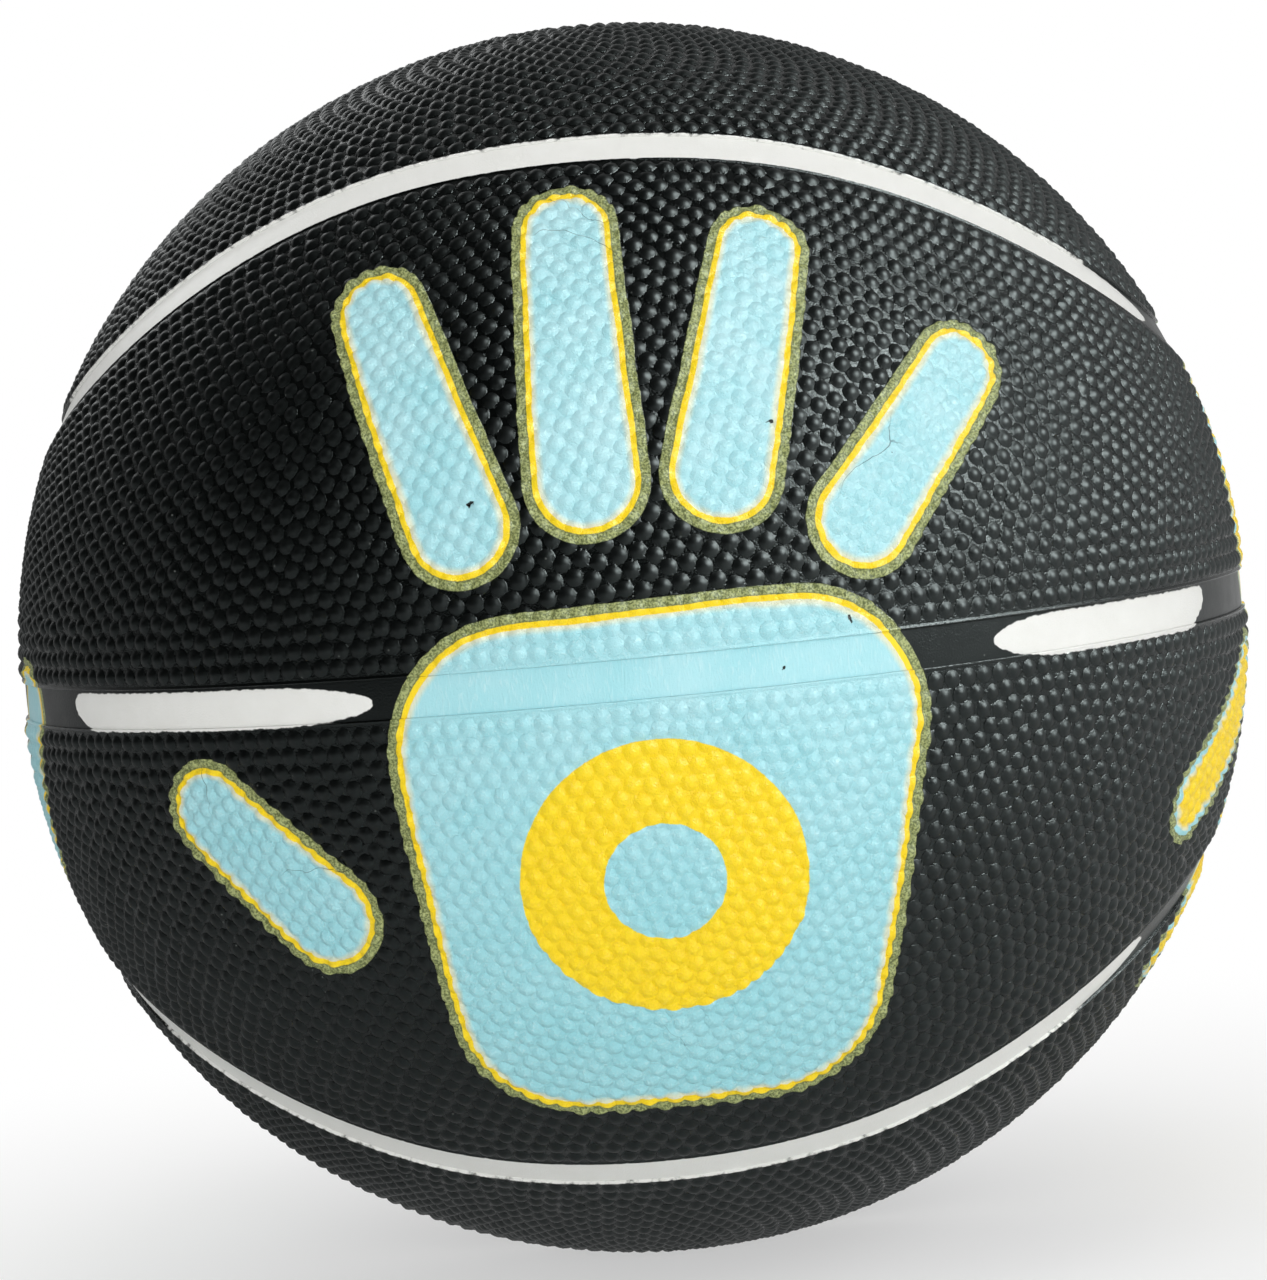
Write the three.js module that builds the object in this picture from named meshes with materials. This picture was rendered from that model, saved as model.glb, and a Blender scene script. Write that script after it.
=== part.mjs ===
// Size 3 training basketball. A moulded rubber cover of eight pebbled panels, with strips inlaid in the
// channels between them, lies over a rubber carcass, a thread winding and an air bladder. A needle valve
// is set in the top channel. Millimetres, +Z up through the valve, -Y to the front, origin at the centre.
import * as THREE from "three";
import { mergeVertices } from "three/addons/utils/BufferGeometryUtils.js";

// Overall size and the layers of the wall, from the outside in.
const BALL_DIAMETER = 178; // over the crowns of the pebbles
const COVER_THICKNESS = 1.6; // crown to the cover's inner face
const CARCASS_THICKNESS = 0.6;
const WINDING_THICKNESS = 0.4;
const BLADDER_THICKNESS = 0.8;
const CLEARANCE = 0.3; // bond line between neighbouring pieces
const REST_FLAT_DEPTH = 0.5; // how far the cover gives where the ball stands

// Channels between the panels. A loop channel's angles are above the plane of the centre channel.
const CHANNEL_WIDTH = 5.2;
const CHANNEL_DEPTH = 0.9; // crown to the channel's floor
const LOOP_FRONT_ANGLE = 50.4;
const LOOP_QUARTER_ANGLE = 41.4;
const LOOP_SIDE_ANGLE = 24;

// Needle valve.
const VALVE_EYE_DIAMETER = 10;
const VALVE_LENGTH = 16; // eye face to the inner end
const VALVE_FLANGE_DIAMETER = 24;
const VALVE_FLANGE_THICKNESS = 1.5;
const VALVE_BOSS_DIAMETER = 11;
const VALVE_TIP_DIAMETER = 9;
const VALVE_BORE_DIAMETER = 5;
const PLUG_BEAD_HEIGHT = 0.8;
const PLUG_BEAD_LENGTH = 3;
const NEEDLE_HOLE_DIAMETER = 1.8;
const NEEDLE_HOLE_DEPTH = 11;
const NEEDLE_MOUTH_DIAMETER = 3;
const NEEDLE_MOUTH_DEPTH = 0.8;

// Facets.
const LAYER_SEGMENTS = 24;
const LAYER_RINGS = 12;
const VALVE_SEGMENTS = 30;
const EYE_ARC_STEPS = 8;
const REST_ARC_STEPS = 10;

const ballRadius = BALL_DIAMETER / 2;
const channelFloor = ballRadius - CHANNEL_DEPTH;
const coverInner = ballRadius - COVER_THICKNESS;
const carcassOuter = coverInner - CLEARANCE;
const carcassInner = carcassOuter - CARCASS_THICKNESS;
const windingOuter = carcassInner - CLEARANCE;
const windingInner = windingOuter - WINDING_THICKNESS;
const bladderOuter = windingInner - CLEARANCE;
const bladderInner = bladderOuter - BLADDER_THICKNESS;
const flangeSeat = bladderInner - CLEARANCE;
const restPlane = ballRadius - REST_FLAT_DEPTH;
const restRadius = Math.sqrt(ballRadius ** 2 - restPlane ** 2);
const eyeRadius = VALVE_EYE_DIAMETER / 2;
const eyeHole = eyeRadius + CLEARANCE;
const halfChannel = CHANNEL_WIDTH / 2;
const halfStrip = halfChannel - CLEARANCE;

// A cover facet's middle lies below the sphere by less than the bond line under it.
const chordTolerance = 0.8 * CLEARANCE;
const facetAngle = (2 * Math.acos(1 - chordTolerance / ballRadius)) / Math.SQRT2;

const radians = THREE.MathUtils.degToRad;
const unit = (x, y, z) => new THREE.Vector3(x, y, z).normalize();
const stepsFor = (angle) => Math.max(1, Math.ceil(angle / facetAngle));

// A direction from the centre: azimuth from the front towards +X, elevation from the centre channel.
function direction(azimuth, elevation) {
  const level = Math.cos(elevation);
  return unit(level * Math.sin(azimuth), -level * Math.cos(azimuth), Math.sin(elevation));
}

// Elevation of a line that runs a given distance above the middle of the upper loop channel.
const loopMean = radians((LOOP_FRONT_ANGLE + LOOP_SIDE_ANGLE) / 2);
const loopQuarter = radians(LOOP_QUARTER_ANGLE);
const loopLevel = (loopMean + loopQuarter) / 2;
const loopSwing = radians((LOOP_FRONT_ANGLE - LOOP_SIDE_ANGLE) / 2);
const loopFullness = (loopMean - loopQuarter) / 2;
function loopElevation(azimuth, distance) {
  const middle = loopLevel + loopSwing * Math.cos(2 * azimuth) + loopFullness * Math.cos(4 * azimuth);
  const rise = -2 * loopSwing * Math.sin(2 * azimuth) - 4 * loopFullness * Math.sin(4 * azimuth);
  return middle + (distance / ballRadius) * Math.hypot(1, rise / Math.cos(middle));
}

// A direction on the upright channel: angle from the top towards +X, at a distance from its middle.
function crownDirection(angle, distance) {
  const side = distance / ballRadius;
  const level = Math.sqrt(1 - side * side);
  return unit(level * Math.sin(angle), side, level * Math.cos(angle));
}

// Azimuth at which a line above the loop channel's middle meets the front edge of the upright channel.
function loopEnd(distance) {
  let azimuth = Math.PI / 2;
  for (let pass = 0; pass < 6; pass++) {
    azimuth = Math.acos(halfChannel / ballRadius / Math.cos(loopElevation(azimuth, distance)));
  }
  return azimuth;
}

// Points spaced evenly along a curve on the sphere.
function evenly(curve, from, to, steps) {
  const samples = 400;
  const lengths = [0];
  let previous = curve(from);
  for (let i = 1; i <= samples; i++) {
    const next = curve(from + ((to - from) * i) / samples);
    lengths.push(lengths[i - 1] + next.distanceTo(previous));
    previous = next;
  }
  const points = [];
  let k = 0;
  for (let i = 0; i <= steps; i++) {
    const wanted = (lengths[samples] * i) / steps;
    while (k < samples - 1 && lengths[k + 1] < wanted) k++;
    const within = (wanted - lengths[k]) / (lengths[k + 1] - lengths[k]);
    points.push(curve(from + ((to - from) * (k + within)) / samples));
  }
  return points;
}

// Rows of directions between four edges that meet at their ends.
function spread(bottom, top, left, right) {
  const columns = bottom.length - 1;
  const rows = left.length - 1;
  const grid = [];
  for (let j = 0; j <= rows; j++) {
    const v = j / rows;
    const row = [];
    for (let i = 0; i <= columns; i++) {
      const u = i / columns;
      const p = new THREE.Vector3();
      p.addScaledVector(bottom[i], 1 - v).addScaledVector(top[i], v);
      p.addScaledVector(left[j], 1 - u).addScaledVector(right[j], u);
      p.addScaledVector(bottom[0], -(1 - u) * (1 - v)).addScaledVector(bottom[columns], -u * (1 - v));
      p.addScaledVector(top[0], -(1 - u) * v).addScaledVector(top[columns], -u * v);
      row.push(p.normalize());
    }
    grid.push(row);
  }
  return grid;
}

const mirrored = (grid, x, y, z) => grid.map((row) => row.map((p) => unit(p.x * x, p.y * y, p.z * z)));

// One closed body from triangles, with repeated corners joined, and turned so that it faces outwards.
function solid(positions, triangles) {
  const open = new THREE.BufferGeometry();
  open.setAttribute("position", new THREE.Float32BufferAttribute(positions, 3));
  open.setIndex(triangles);
  const joined = mergeVertices(open, 1e-3);
  const place = joined.getAttribute("position");
  const corner = (i) => new THREE.Vector3().fromBufferAttribute(place, i);
  const kept = [];
  let volume = 0;
  for (let i = 0; i < joined.index.count; i += 3) {
    const [a, b, c] = [0, 1, 2].map((k) => joined.index.getX(i + k));
    if (a === b || b === c || c === a) continue;
    kept.push([a, b, c]);
    volume += corner(a).dot(corner(b).cross(corner(c)));
  }
  joined.setIndex(kept.flatMap(([a, b, c]) => (volume > 0 ? [a, b, c] : [a, c, b])));
  joined.computeVertexNormals();
  return joined;
}

// A piece of wall: a grid of directions drawn out from one radius to another, closed round its rim.
function wall(grid, inner, outer, ring = false) {
  const rows = grid.length;
  const columns = grid[0].length;
  const positions = [];
  for (const row of grid) {
    for (const p of row) {
      const stand = p.z < 0 ? Math.min(outer, restPlane / Math.max(-p.z, 1e-6)) : outer;
      positions.push(p.x * stand, p.y * stand, p.z * stand);
    }
  }
  for (const row of grid) {
    for (const p of row) positions.push(p.x * inner, p.y * inner, p.z * inner);
  }
  const out = (j, i) => (j % rows) * columns + i;
  const within = (j, i) => rows * columns + out(j, i);
  const triangles = [];
  const quad = (a, b, c, d) => triangles.push(a, b, c, a, c, d);
  const spans = ring ? rows : rows - 1;
  for (let j = 0; j < spans; j++) {
    for (let i = 0; i + 1 < columns; i++) {
      quad(out(j, i), out(j, i + 1), out(j + 1, i + 1), out(j + 1, i));
      quad(within(j, i), within(j + 1, i), within(j + 1, i + 1), within(j, i + 1));
    }
    quad(out(j, 0), out(j + 1, 0), within(j + 1, 0), within(j, 0));
    quad(out(j + 1, columns - 1), out(j, columns - 1), within(j, columns - 1), within(j + 1, columns - 1));
  }
  for (let i = 0; i + 1 < columns && !ring; i++) {
    quad(out(0, i + 1), out(0, i), within(0, i), within(0, i + 1));
    quad(out(rows - 1, i), out(rows - 1, i + 1), within(rows - 1, i + 1), within(rows - 1, i));
  }
  return solid(positions, triangles);
}

// A profile of [radius, height] pairs, revolved about the vertical axis.
function revolved(profile, segments) {
  const points = profile.map(([r, z]) => new THREE.Vector2(r, z));
  const turned = new THREE.LatheGeometry(points, segments).rotateX(Math.PI / 2);
  return solid([...turned.getAttribute("position").array], [...turned.index.array]);
}

// The front panel between the centre channel and the upper loop channel.
function bandPanel() {
  const low = Math.asin(halfChannel / ballRadius);
  const lowEnd = Math.acos(halfChannel / ballRadius / Math.cos(low));
  const highEnd = loopEnd(-halfChannel);
  const columns = stepsFor(2 * lowEnd);
  const rows = stepsFor(loopElevation(0, -halfChannel) - low);
  const bottom = evenly((a) => direction(a, low), -lowEnd, lowEnd, columns);
  const top = evenly((a) => direction(a, loopElevation(a, -halfChannel)), -highEnd, highEnd, columns);
  const lowAngle = Math.atan2(bottom[columns].x, bottom[columns].z);
  const highAngle = Math.atan2(top[columns].x, top[columns].z);
  const right = evenly((a) => crownDirection(a, -halfChannel), lowAngle, highAngle, rows);
  const left = right.map((p) => unit(-p.x, p.y, p.z));
  return spread(bottom, top, left, right);
}

// The front panel inside the upper loop channel. Its straight edge bends round a circle at the pole,
// which is either left open for the valve's eye or filled in flat for the ball to stand on.
function capPanel(circle, arcSteps, filled) {
  const end = loopEnd(halfChannel);
  const edge = (a) => direction(a, loopElevation(a, halfChannel));
  const corner = edge(end);
  const poleAngle = Math.asin(Math.sqrt(circle ** 2 - halfChannel ** 2) / ballRadius);
  const endAngle = Math.atan2(corner.x, corner.z);
  const straightSteps = stepsFor(endAngle - poleAngle);
  const straight = evenly((a) => crownDirection(a, -halfChannel), poleAngle, endAngle, straightSteps);
  const swing = Math.acos(halfChannel / circle);
  const polar = Math.asin(circle / ballRadius);
  const arc = evenly((a) => direction(a, Math.PI / 2 - polar), -swing, swing, arcSteps);
  const bottom = [...straight.map((p) => unit(-p.x, p.y, p.z)).reverse(), ...arc.slice(1, -1), ...straight];
  const columns = bottom.length - 1;
  const rows = stepsFor(Math.PI / 2 - polar - loopElevation(0, halfChannel));
  const rim = evenly(edge, -end, end, columns + 2 * rows);
  const left = rim.slice(0, rows + 1);
  const top = rim.slice(rows, rows + columns + 1);
  const right = rim.slice(rows + columns).reverse();
  const grid = spread(bottom, top, left, right);
  if (filled) {
    const middle = crownDirection(0, -halfChannel);
    const first = straight.length;
    grid.unshift(bottom.map((p, i) => (i >= first && i < first + arcSteps - 1 ? middle : p)));
  }
  return grid;
}

function centreStrip() {
  const steps = stepsFor(2 * Math.PI);
  const half = Math.asin(halfStrip / ballRadius);
  const turn = (i) => (2 * Math.PI * i) / steps;
  return Array.from({ length: steps }, (_, i) => [direction(turn(i), -half), direction(turn(i), half)]);
}

function loopStrip() {
  const steps = stepsFor(2 * Math.PI);
  const turn = (i) => (2 * Math.PI * i) / steps;
  const row = (a) => [-halfStrip, halfStrip].map((d) => direction(a, loopElevation(a, d)));
  return Array.from({ length: steps }, (_, i) => row(turn(i)));
}

// A length of the upright channel's strip between two ends, each a function of the place across it.
function crownStrip(from, to) {
  const across = [-halfStrip, 0, halfStrip];
  const steps = stepsFor(Math.abs(to(0) - from(0)));
  const place = (j, d) => from(d) + ((to(d) - from(d)) * j) / steps;
  return Array.from({ length: steps + 1 }, (_, j) => across.map((d) => crownDirection(place(j, d), d)));
}
const eyeEnd = (d) => Math.asin(Math.sqrt(eyeHole ** 2 - d ** 2) / ballRadius);
const loopInside = () => Math.PI / 2 - loopElevation(Math.PI / 2, halfChannel);
const loopOutside = () => Math.PI / 2 - loopElevation(Math.PI / 2, -halfChannel);
const centreEnd = () => Math.PI / 2 - Math.asin(halfChannel / ballRadius);

// A closed layer of the ball with a hole for the valve. Its first ring below the hole clears the flange.
function layer(outer, inner) {
  const pad = Math.asin((VALVE_FLANGE_DIAMETER / 2 + 2 * CLEARANCE) / flangeSeat);
  const arc = (r) => {
    const rings = [[eyeHole, Math.sqrt(r ** 2 - eyeHole ** 2)]];
    for (let i = 0; i < LAYER_RINGS; i++) {
      const angle = pad + ((Math.PI - pad) * i) / LAYER_RINGS;
      rings.push([r * Math.sin(angle), r * Math.cos(angle)]);
    }
    rings.push([0, -r]);
    return rings;
  };
  const outside = arc(outer);
  return revolved([...outside, ...arc(inner).reverse(), outside[0]], LAYER_SEGMENTS);
}

const boreRadius = VALVE_BORE_DIAMETER / 2;
const valveEnd = channelFloor - VALVE_LENGTH;
const beadMiddle = channelFloor - VALVE_LENGTH / 2;
const halfBead = PLUG_BEAD_LENGTH / 2;

function valveHousing() {
  const flange = VALVE_FLANGE_DIAMETER / 2;
  const seat = (r) => Math.sqrt(flangeSeat ** 2 - r ** 2);
  const flangeUnder = seat(flange) - VALVE_FLANGE_THICKNESS;
  const groove = halfBead + CLEARANCE;
  const profile = [
    [boreRadius, channelFloor],
    [eyeRadius, channelFloor],
    [eyeRadius, seat(eyeRadius)],
    [flange, seat(flange)],
    [flange, flangeUnder],
    [VALVE_BOSS_DIAMETER / 2, flangeUnder],
    [VALVE_TIP_DIAMETER / 2, valveEnd],
    [boreRadius, valveEnd],
    [boreRadius, beadMiddle - groove],
    [boreRadius + PLUG_BEAD_HEIGHT, beadMiddle],
    [boreRadius, beadMiddle + groove],
  ];
  return revolved([...profile, profile[0]], VALVE_SEGMENTS);
}

function valvePlug() {
  const body = boreRadius - CLEARANCE;
  const needle = NEEDLE_HOLE_DIAMETER / 2;
  const profile = [
    [0, channelFloor - NEEDLE_HOLE_DEPTH],
    [needle, channelFloor - NEEDLE_HOLE_DEPTH],
    [needle, channelFloor - NEEDLE_MOUTH_DEPTH],
    [NEEDLE_MOUTH_DIAMETER / 2, channelFloor],
    [body, channelFloor],
    [body, beadMiddle + halfBead],
    [body + PLUG_BEAD_HEIGHT, beadMiddle],
    [body, beadMiddle - halfBead],
    [body, valveEnd],
    [0, valveEnd],
  ];
  return revolved(profile, VALVE_SEGMENTS);
}

const finish = (color, roughness) => new THREE.MeshStandardMaterial({ color, roughness, metalness: 0 });
const coverRubber = finish(0x1d1f20, 0.5);
const lineWhite = finish(0xe9e7e0, 0.5);
const lineBlack = finish(0x141516, 0.4);
const carcassRubber = finish(0x3a3632, 0.8);
const windingNylon = finish(0xd8d2c0, 0.7);
const bladderButyl = finish(0x222326, 0.6);
const valveRubber = finish(0x26282a, 0.5);

const ball = new THREE.Group();
ball.name = "training_basketball";
function add(name, geometry, material) {
  const piece = new THREE.Mesh(geometry, material);
  piece.name = name;
  ball.add(piece);
}

const band = bandPanel();
const topCap = capPanel(eyeHole, EYE_ARC_STEPS, false);
const bottomCap = capPanel(restRadius, REST_ARC_STEPS, true);
for (const [side, y] of [["front", 1], ["rear", -1]]) {
  add("upper_" + side + "_panel", wall(mirrored(band, 1, y, 1), coverInner, ballRadius), coverRubber);
  add("lower_" + side + "_panel", wall(mirrored(band, 1, y, -1), coverInner, ballRadius), coverRubber);
  add("top_" + side + "_panel", wall(mirrored(topCap, 1, y, 1), coverInner, ballRadius), coverRubber);
  add("bottom_" + side + "_panel", wall(mirrored(bottomCap, 1, y, -1), coverInner, ballRadius), coverRubber);
}

const strip = (grid, ring) => wall(grid, coverInner, channelFloor, ring);
add("centre_channel_strip", strip(centreStrip(), true), lineBlack);
add("upper_loop_strip", strip(loopStrip(), true), lineWhite);
add("lower_loop_strip", strip(mirrored(loopStrip(), 1, 1, -1), true), lineWhite);
const sideRun = crownStrip(loopOutside, centreEnd);
const topRun = crownStrip(eyeEnd, loopInside);
for (const [side, x] of [["right", 1], ["left", -1]]) {
  add("upper_" + side + "_strip", strip(mirrored(sideRun, x, 1, 1), false), lineWhite);
  add("lower_" + side + "_strip", strip(mirrored(sideRun, x, 1, -1), false), lineWhite);
  add("top_" + side + "_strip", strip(mirrored(topRun, x, 1, 1), false), lineWhite);
}
const bottomRun = crownStrip(() => -loopInside(), loopInside);
add("bottom_strip", strip(mirrored(bottomRun, 1, 1, -1), false), lineWhite);

add("carcass", layer(carcassOuter, carcassInner), carcassRubber);
add("thread_winding", layer(windingOuter, windingInner), windingNylon);
add("bladder", layer(bladderOuter, bladderInner), bladderButyl);
add("valve_housing", valveHousing(), valveRubber);
add("valve_plug", valvePlug(), valveRubber);

export default ball;
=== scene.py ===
# Size 3 training basketball: black rubber panels with moulded pebbles, painted channels between them
# and printed guides that show where the hands go.
import math

import bpy
import numpy as np
from mathutils import Matrix, Vector
from mathutils.geometry import delaunay_2d_cdt


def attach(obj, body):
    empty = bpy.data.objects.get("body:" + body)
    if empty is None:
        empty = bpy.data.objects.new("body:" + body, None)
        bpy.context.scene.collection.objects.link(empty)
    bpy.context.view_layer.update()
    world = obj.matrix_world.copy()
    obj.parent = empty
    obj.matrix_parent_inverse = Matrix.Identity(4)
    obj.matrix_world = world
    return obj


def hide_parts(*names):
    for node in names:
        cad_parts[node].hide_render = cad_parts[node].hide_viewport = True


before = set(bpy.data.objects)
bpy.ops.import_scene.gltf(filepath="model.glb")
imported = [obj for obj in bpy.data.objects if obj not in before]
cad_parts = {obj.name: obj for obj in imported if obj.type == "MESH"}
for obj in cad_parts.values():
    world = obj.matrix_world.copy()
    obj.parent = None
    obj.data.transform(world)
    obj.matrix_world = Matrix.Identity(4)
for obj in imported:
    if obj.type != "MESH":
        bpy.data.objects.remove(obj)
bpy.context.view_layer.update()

# Lengths in millimetres, as on the solids.
MM = 0.001
BALL = 89.0
VALLEY = 88.42
CHANNEL_FLOOR = 88.1
COVER_INNER = 87.4
HALF_CHANNEL = 2.6
EYE_HOLE = 5.3
REST_PLANE = 88.5
LOOP_FRONT, LOOP_QUARTER, LOOP_SIDE = 50.4, 41.4, 24.0

# Pebbles: their spacing, size, profile, the rings of points on each, and the row along a panel's edge.
PITCH = 2.45
PEBBLE_RADIUS = 1.18
PEBBLE_SHAPE = 2.0
PEBBLE_RINGS = ((0.45, 6), (0.78, 10), (1.0, 12))
PEBBLE_GAP = 0.11
FIRST_ROW = 1.85

# How pebbles are scattered, then pushed apart from their neighbours, in shares of the spacing,
# and how much they differ, in shares of their radius and height.
SECOND_ROW = 0.7
SCATTER = 0.12
RELAX_ROUNDS, RELAX_REACH, RELAX_PUSH = 45, 1.6, 0.6
SIZE_SPREAD, HEIGHT_SPREAD = 0.04, 0.2
NEIGHBOURS = 7
LEAST_FACING = 0.1
SKEW = (0.31, 0.52, 0.79)

# A panel's edge, from its lining up over a fine bead: how far in from the channel's side, and the radius.
EDGE_STEPS = (
    (0.0, COVER_INNER),
    (0.0, VALLEY - 0.18),
    (0.05, VALLEY + 0.06),
    (0.16, VALLEY + 0.13),
    (0.34, VALLEY + 0.09),
    (0.5, VALLEY),
)
EDGE_SPACING = 0.9
LINING_SPACING = 7.0
SHARP_ANGLE = 23.0

# Elevations, in degrees, of the middles of the larger and the smaller panels.
BAND_MIDDLE, CAP_MIDDLE = 24.0, 66.0

# Samples along a curve that is to be divided evenly, and rounds to find where two lines meet.
CURVE_SAMPLES = 1200
MEETING_ROUNDS = 6

# Channel strips: where their points lie across, and how far apart along.
ACROSS = np.array([-2.58, -2.3, -1.6, -0.8, 0.0, 0.8, 1.6, 2.3, 2.58])
STRIP_SPACING = 0.95

# White line paint: strokes as (start, end, taper and slant of each end, half width, middle),
# the ends in degrees round from the front, the middle as the distance above the channel's.
PAINT_HALF = 2.72
CENTRE_STROKES = (
    (-56.2, -19.2, (4.5, 0.8), (17.0, -0.3), 2.58, -0.34),
    (34.7, 64.7, (12.0, 0.2), (3.5, 0.9), 2.8, -0.45),
    (154.0, 206.0, (9.0, 0.4), (4.0, -0.5), 2.6, 0.0),
)
UPPER_STROKES = (
    (-82.0, 76.0, (10.0, 0.0), (16.0, 0.0), PAINT_HALF, 0.0),
    (142.0, 214.0, (12.0, 0.0), (12.0, 0.0), PAINT_HALF, 0.0),
)
LOWER_STROKES = (
    (-75.0, 64.5, (14.0, 0.0), (14.0, 0.0), PAINT_HALF, 0.0),
    (136.0, 218.0, (12.0, 0.0), (12.0, 0.0), PAINT_HALF, 0.0),
)
CROWN_END, CROWN_TAPER = 4.0, 9.0

# Printed guides, drawn flat in millimetres on a frame whose middle touches the ball:
# a palm pad with rounded corners, finger pads as (base, tip, radius at each), and a ring on the palm.
PALM = ((-13.0, -15.0), (23.0, -11.0), (20.0, -50.0), (-7.0, -52.0))
PALM_ROUND = 16.5
FINGERS = (
    ((-21.0, 14.0), (-34.0, 45.5), 6.9, 6.0),
    ((-4.5, 20.0), (-8.0, 57.0), 7.0, 6.2),
    ((13.0, 21.0), (19.0, 54.0), 6.9, 6.0),
    ((31.5, 15.0), (47.5, 38.0), 6.5, 5.7),
    ((-42.0, -39.0), (-59.5, -25.0), 7.6, 6.6),
)
RING_AT, RING_RADIUS, RING_HALF = (5.5, -32.0), 13.5, 5.5
INK_REACH = 8.0

# The photograph's view: distance in ball radii, turns in degrees, sizes and places in its pixels.
VIEW_DISTANCE = 6.9
VIEW_PITCH, VIEW_ROLL, VIEW_YAW = 3.43, -5.38, -3.18
FRAME_WIDTH, FRAME_HEIGHT = 1267, 1280
BALL_PIXELS = 616.0
BALL_AT = (633.1, 637.1)


# Directions and lines on the ball.
def unit(p):
    return p / np.linalg.norm(p, axis=-1, keepdims=True)


def direction(azimuth, elevation):
    azimuth, elevation = np.broadcast_arrays(azimuth, elevation)
    level = np.cos(elevation)
    return np.stack([level * np.sin(azimuth), -level * np.cos(azimuth), np.sin(elevation)], -1)


def loop_middle(azimuth):
    """Elevation of the upper loop channel's middle, and how much its slope widens it."""
    mean = math.radians(LOOP_FRONT + LOOP_SIDE) / 2
    quarter = math.radians(LOOP_QUARTER)
    swing = math.radians(LOOP_FRONT - LOOP_SIDE) / 2
    level, fullness = (mean + quarter) / 2, (mean - quarter) / 2
    middle = level + swing * np.cos(2 * azimuth) + fullness * np.cos(4 * azimuth)
    rise = -2 * swing * np.sin(2 * azimuth) - 4 * fullness * np.sin(4 * azimuth)
    return middle, np.hypot(1, rise / np.cos(middle))


def centre_line(azimuth, distance):
    return direction(azimuth, np.arcsin(distance / BALL))


def loop_line(azimuth, distance):
    middle, slope = loop_middle(azimuth)
    return direction(azimuth, middle + distance / BALL * slope)


def crown_line(angle, distance):
    """A line beside the upright channel: angle from the top towards +X."""
    angle, side = np.broadcast_arrays(angle, np.asarray(distance) / BALL)
    level = np.sqrt(1 - side * side)
    return np.stack([level * np.sin(angle), side, level * np.cos(angle)], -1)


def evenly(side, spacing=None, steps=None):
    """Points along (curve, start, end), without the last, at an even spacing."""
    curve, start, end = side
    t = np.linspace(start, end, CURVE_SAMPLES)
    p = curve(t)
    run = np.concatenate([[0], np.cumsum(np.linalg.norm(np.diff(p, axis=0), axis=1))]) * BALL
    if steps is None:
        steps = max(1, round(run[-1] / spacing))
    return curve(np.interp(np.linspace(0, run[-1], steps + 1)[:-1], run, t))


def loop_end(distance, edge):
    """Azimuth where a line beside the loop meets a line beside the upright channel."""
    azimuth = math.pi / 2
    for _ in range(MEETING_ROUNDS):
        middle, slope = loop_middle(azimuth)
        azimuth = math.acos(edge / BALL / math.cos(middle + distance / BALL * slope))
    return azimuth


def band_sides(edge):
    """The sides of the front panel between centre and upper loop channel, as (curve, start, end)."""
    low = math.asin(edge / BALL)
    low_end = math.acos(edge / BALL / math.cos(low))
    high_end = loop_end(-edge, edge)
    corners = [direction(low_end, low), loop_line(high_end, -edge)]
    low_angle, high_angle = (math.atan2(c[0], c[2]) for c in corners)
    return [
        (lambda a: direction(a, low), -low_end, low_end),
        (lambda a: crown_line(a, -edge), low_angle, high_angle),
        (lambda a: loop_line(a, -edge), high_end, -high_end),
        (lambda a: crown_line(a, -edge), -high_angle, -low_angle),
    ]


def bottom_sides(edge):
    """The sides of a panel inside the loop, whose straight side runs along the upright channel."""
    end = loop_end(edge, edge)
    corner = loop_line(end, edge)
    end_angle = math.atan2(corner[0], corner[2])
    straight = (lambda a: crown_line(a, -edge), -end_angle, end_angle)
    return [straight, (lambda a: loop_line(a, edge), end, -end)]


def top_sides(edge):
    """The same panel bent round the valve's eye."""
    (straight, start, end), rim = bottom_sides(edge)
    circle = EYE_HOLE + edge - HALF_CHANNEL
    pole = math.asin(math.sqrt(circle**2 - edge**2) / BALL)
    swing = math.acos(edge / circle)
    up = math.pi / 2 - math.asin(circle / BALL)
    arc = (lambda a: direction(a, up), -swing, swing)
    return [(straight, start, -pole), arc, (straight, pole, end), rim]


def beside_channels(p):
    """How far directions lie above the centre channel's middle, in front of the upright channel's,
    and beyond the loop channel's."""
    azimuth = np.arctan2(p[:, 0], -p[:, 1])
    height = np.arcsin(np.clip(p[:, 2], -1, 1))
    middle, slope = loop_middle(azimuth)
    before = np.arcsin(np.clip(-p[:, 1], -1, 1))
    return BALL * height, BALL * before, BALL * (np.abs(height) - middle) / slope


def inside_panel(p, kind):
    """How far directions lie inside a panel's edges."""
    above, before, beyond = beside_channels(p)
    if kind == "band":
        return np.minimum(np.minimum(above, before), -beyond) - HALF_CHANNEL
    gap = np.where(above > 0, np.minimum(before, beyond), -BALL) - HALF_CHANNEL
    if kind == "top":
        gap = np.minimum(gap, BALL * np.arccos(np.clip(p[:, 2], -1, 1)) - EYE_HOLE)
    return gap


# White paint and printed ink, as distances inside their outlines.
def strokes(degrees, length, across, spans):
    """Distance inside brush strokes along a channel whose degrees have the given length."""
    best = np.full(degrees.shape, -INK_REACH)
    for start, end, (first, first_slant), (last, last_slant), half, middle in spans:
        aside = across - middle
        for whole in (-360, 0, 360):
            since = (degrees + whole - start) * length + first_slant * aside
            until = (end - degrees - whole) * length + last_slant * aside
            along = np.minimum(since, until)
            left = 1 - np.clip(along / np.where(since < until, first, last), 0, 1)
            within = half * np.sqrt(1 - left**2) - np.abs(aside)
            best = np.maximum(best, np.minimum(within, along))
    return best


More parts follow.
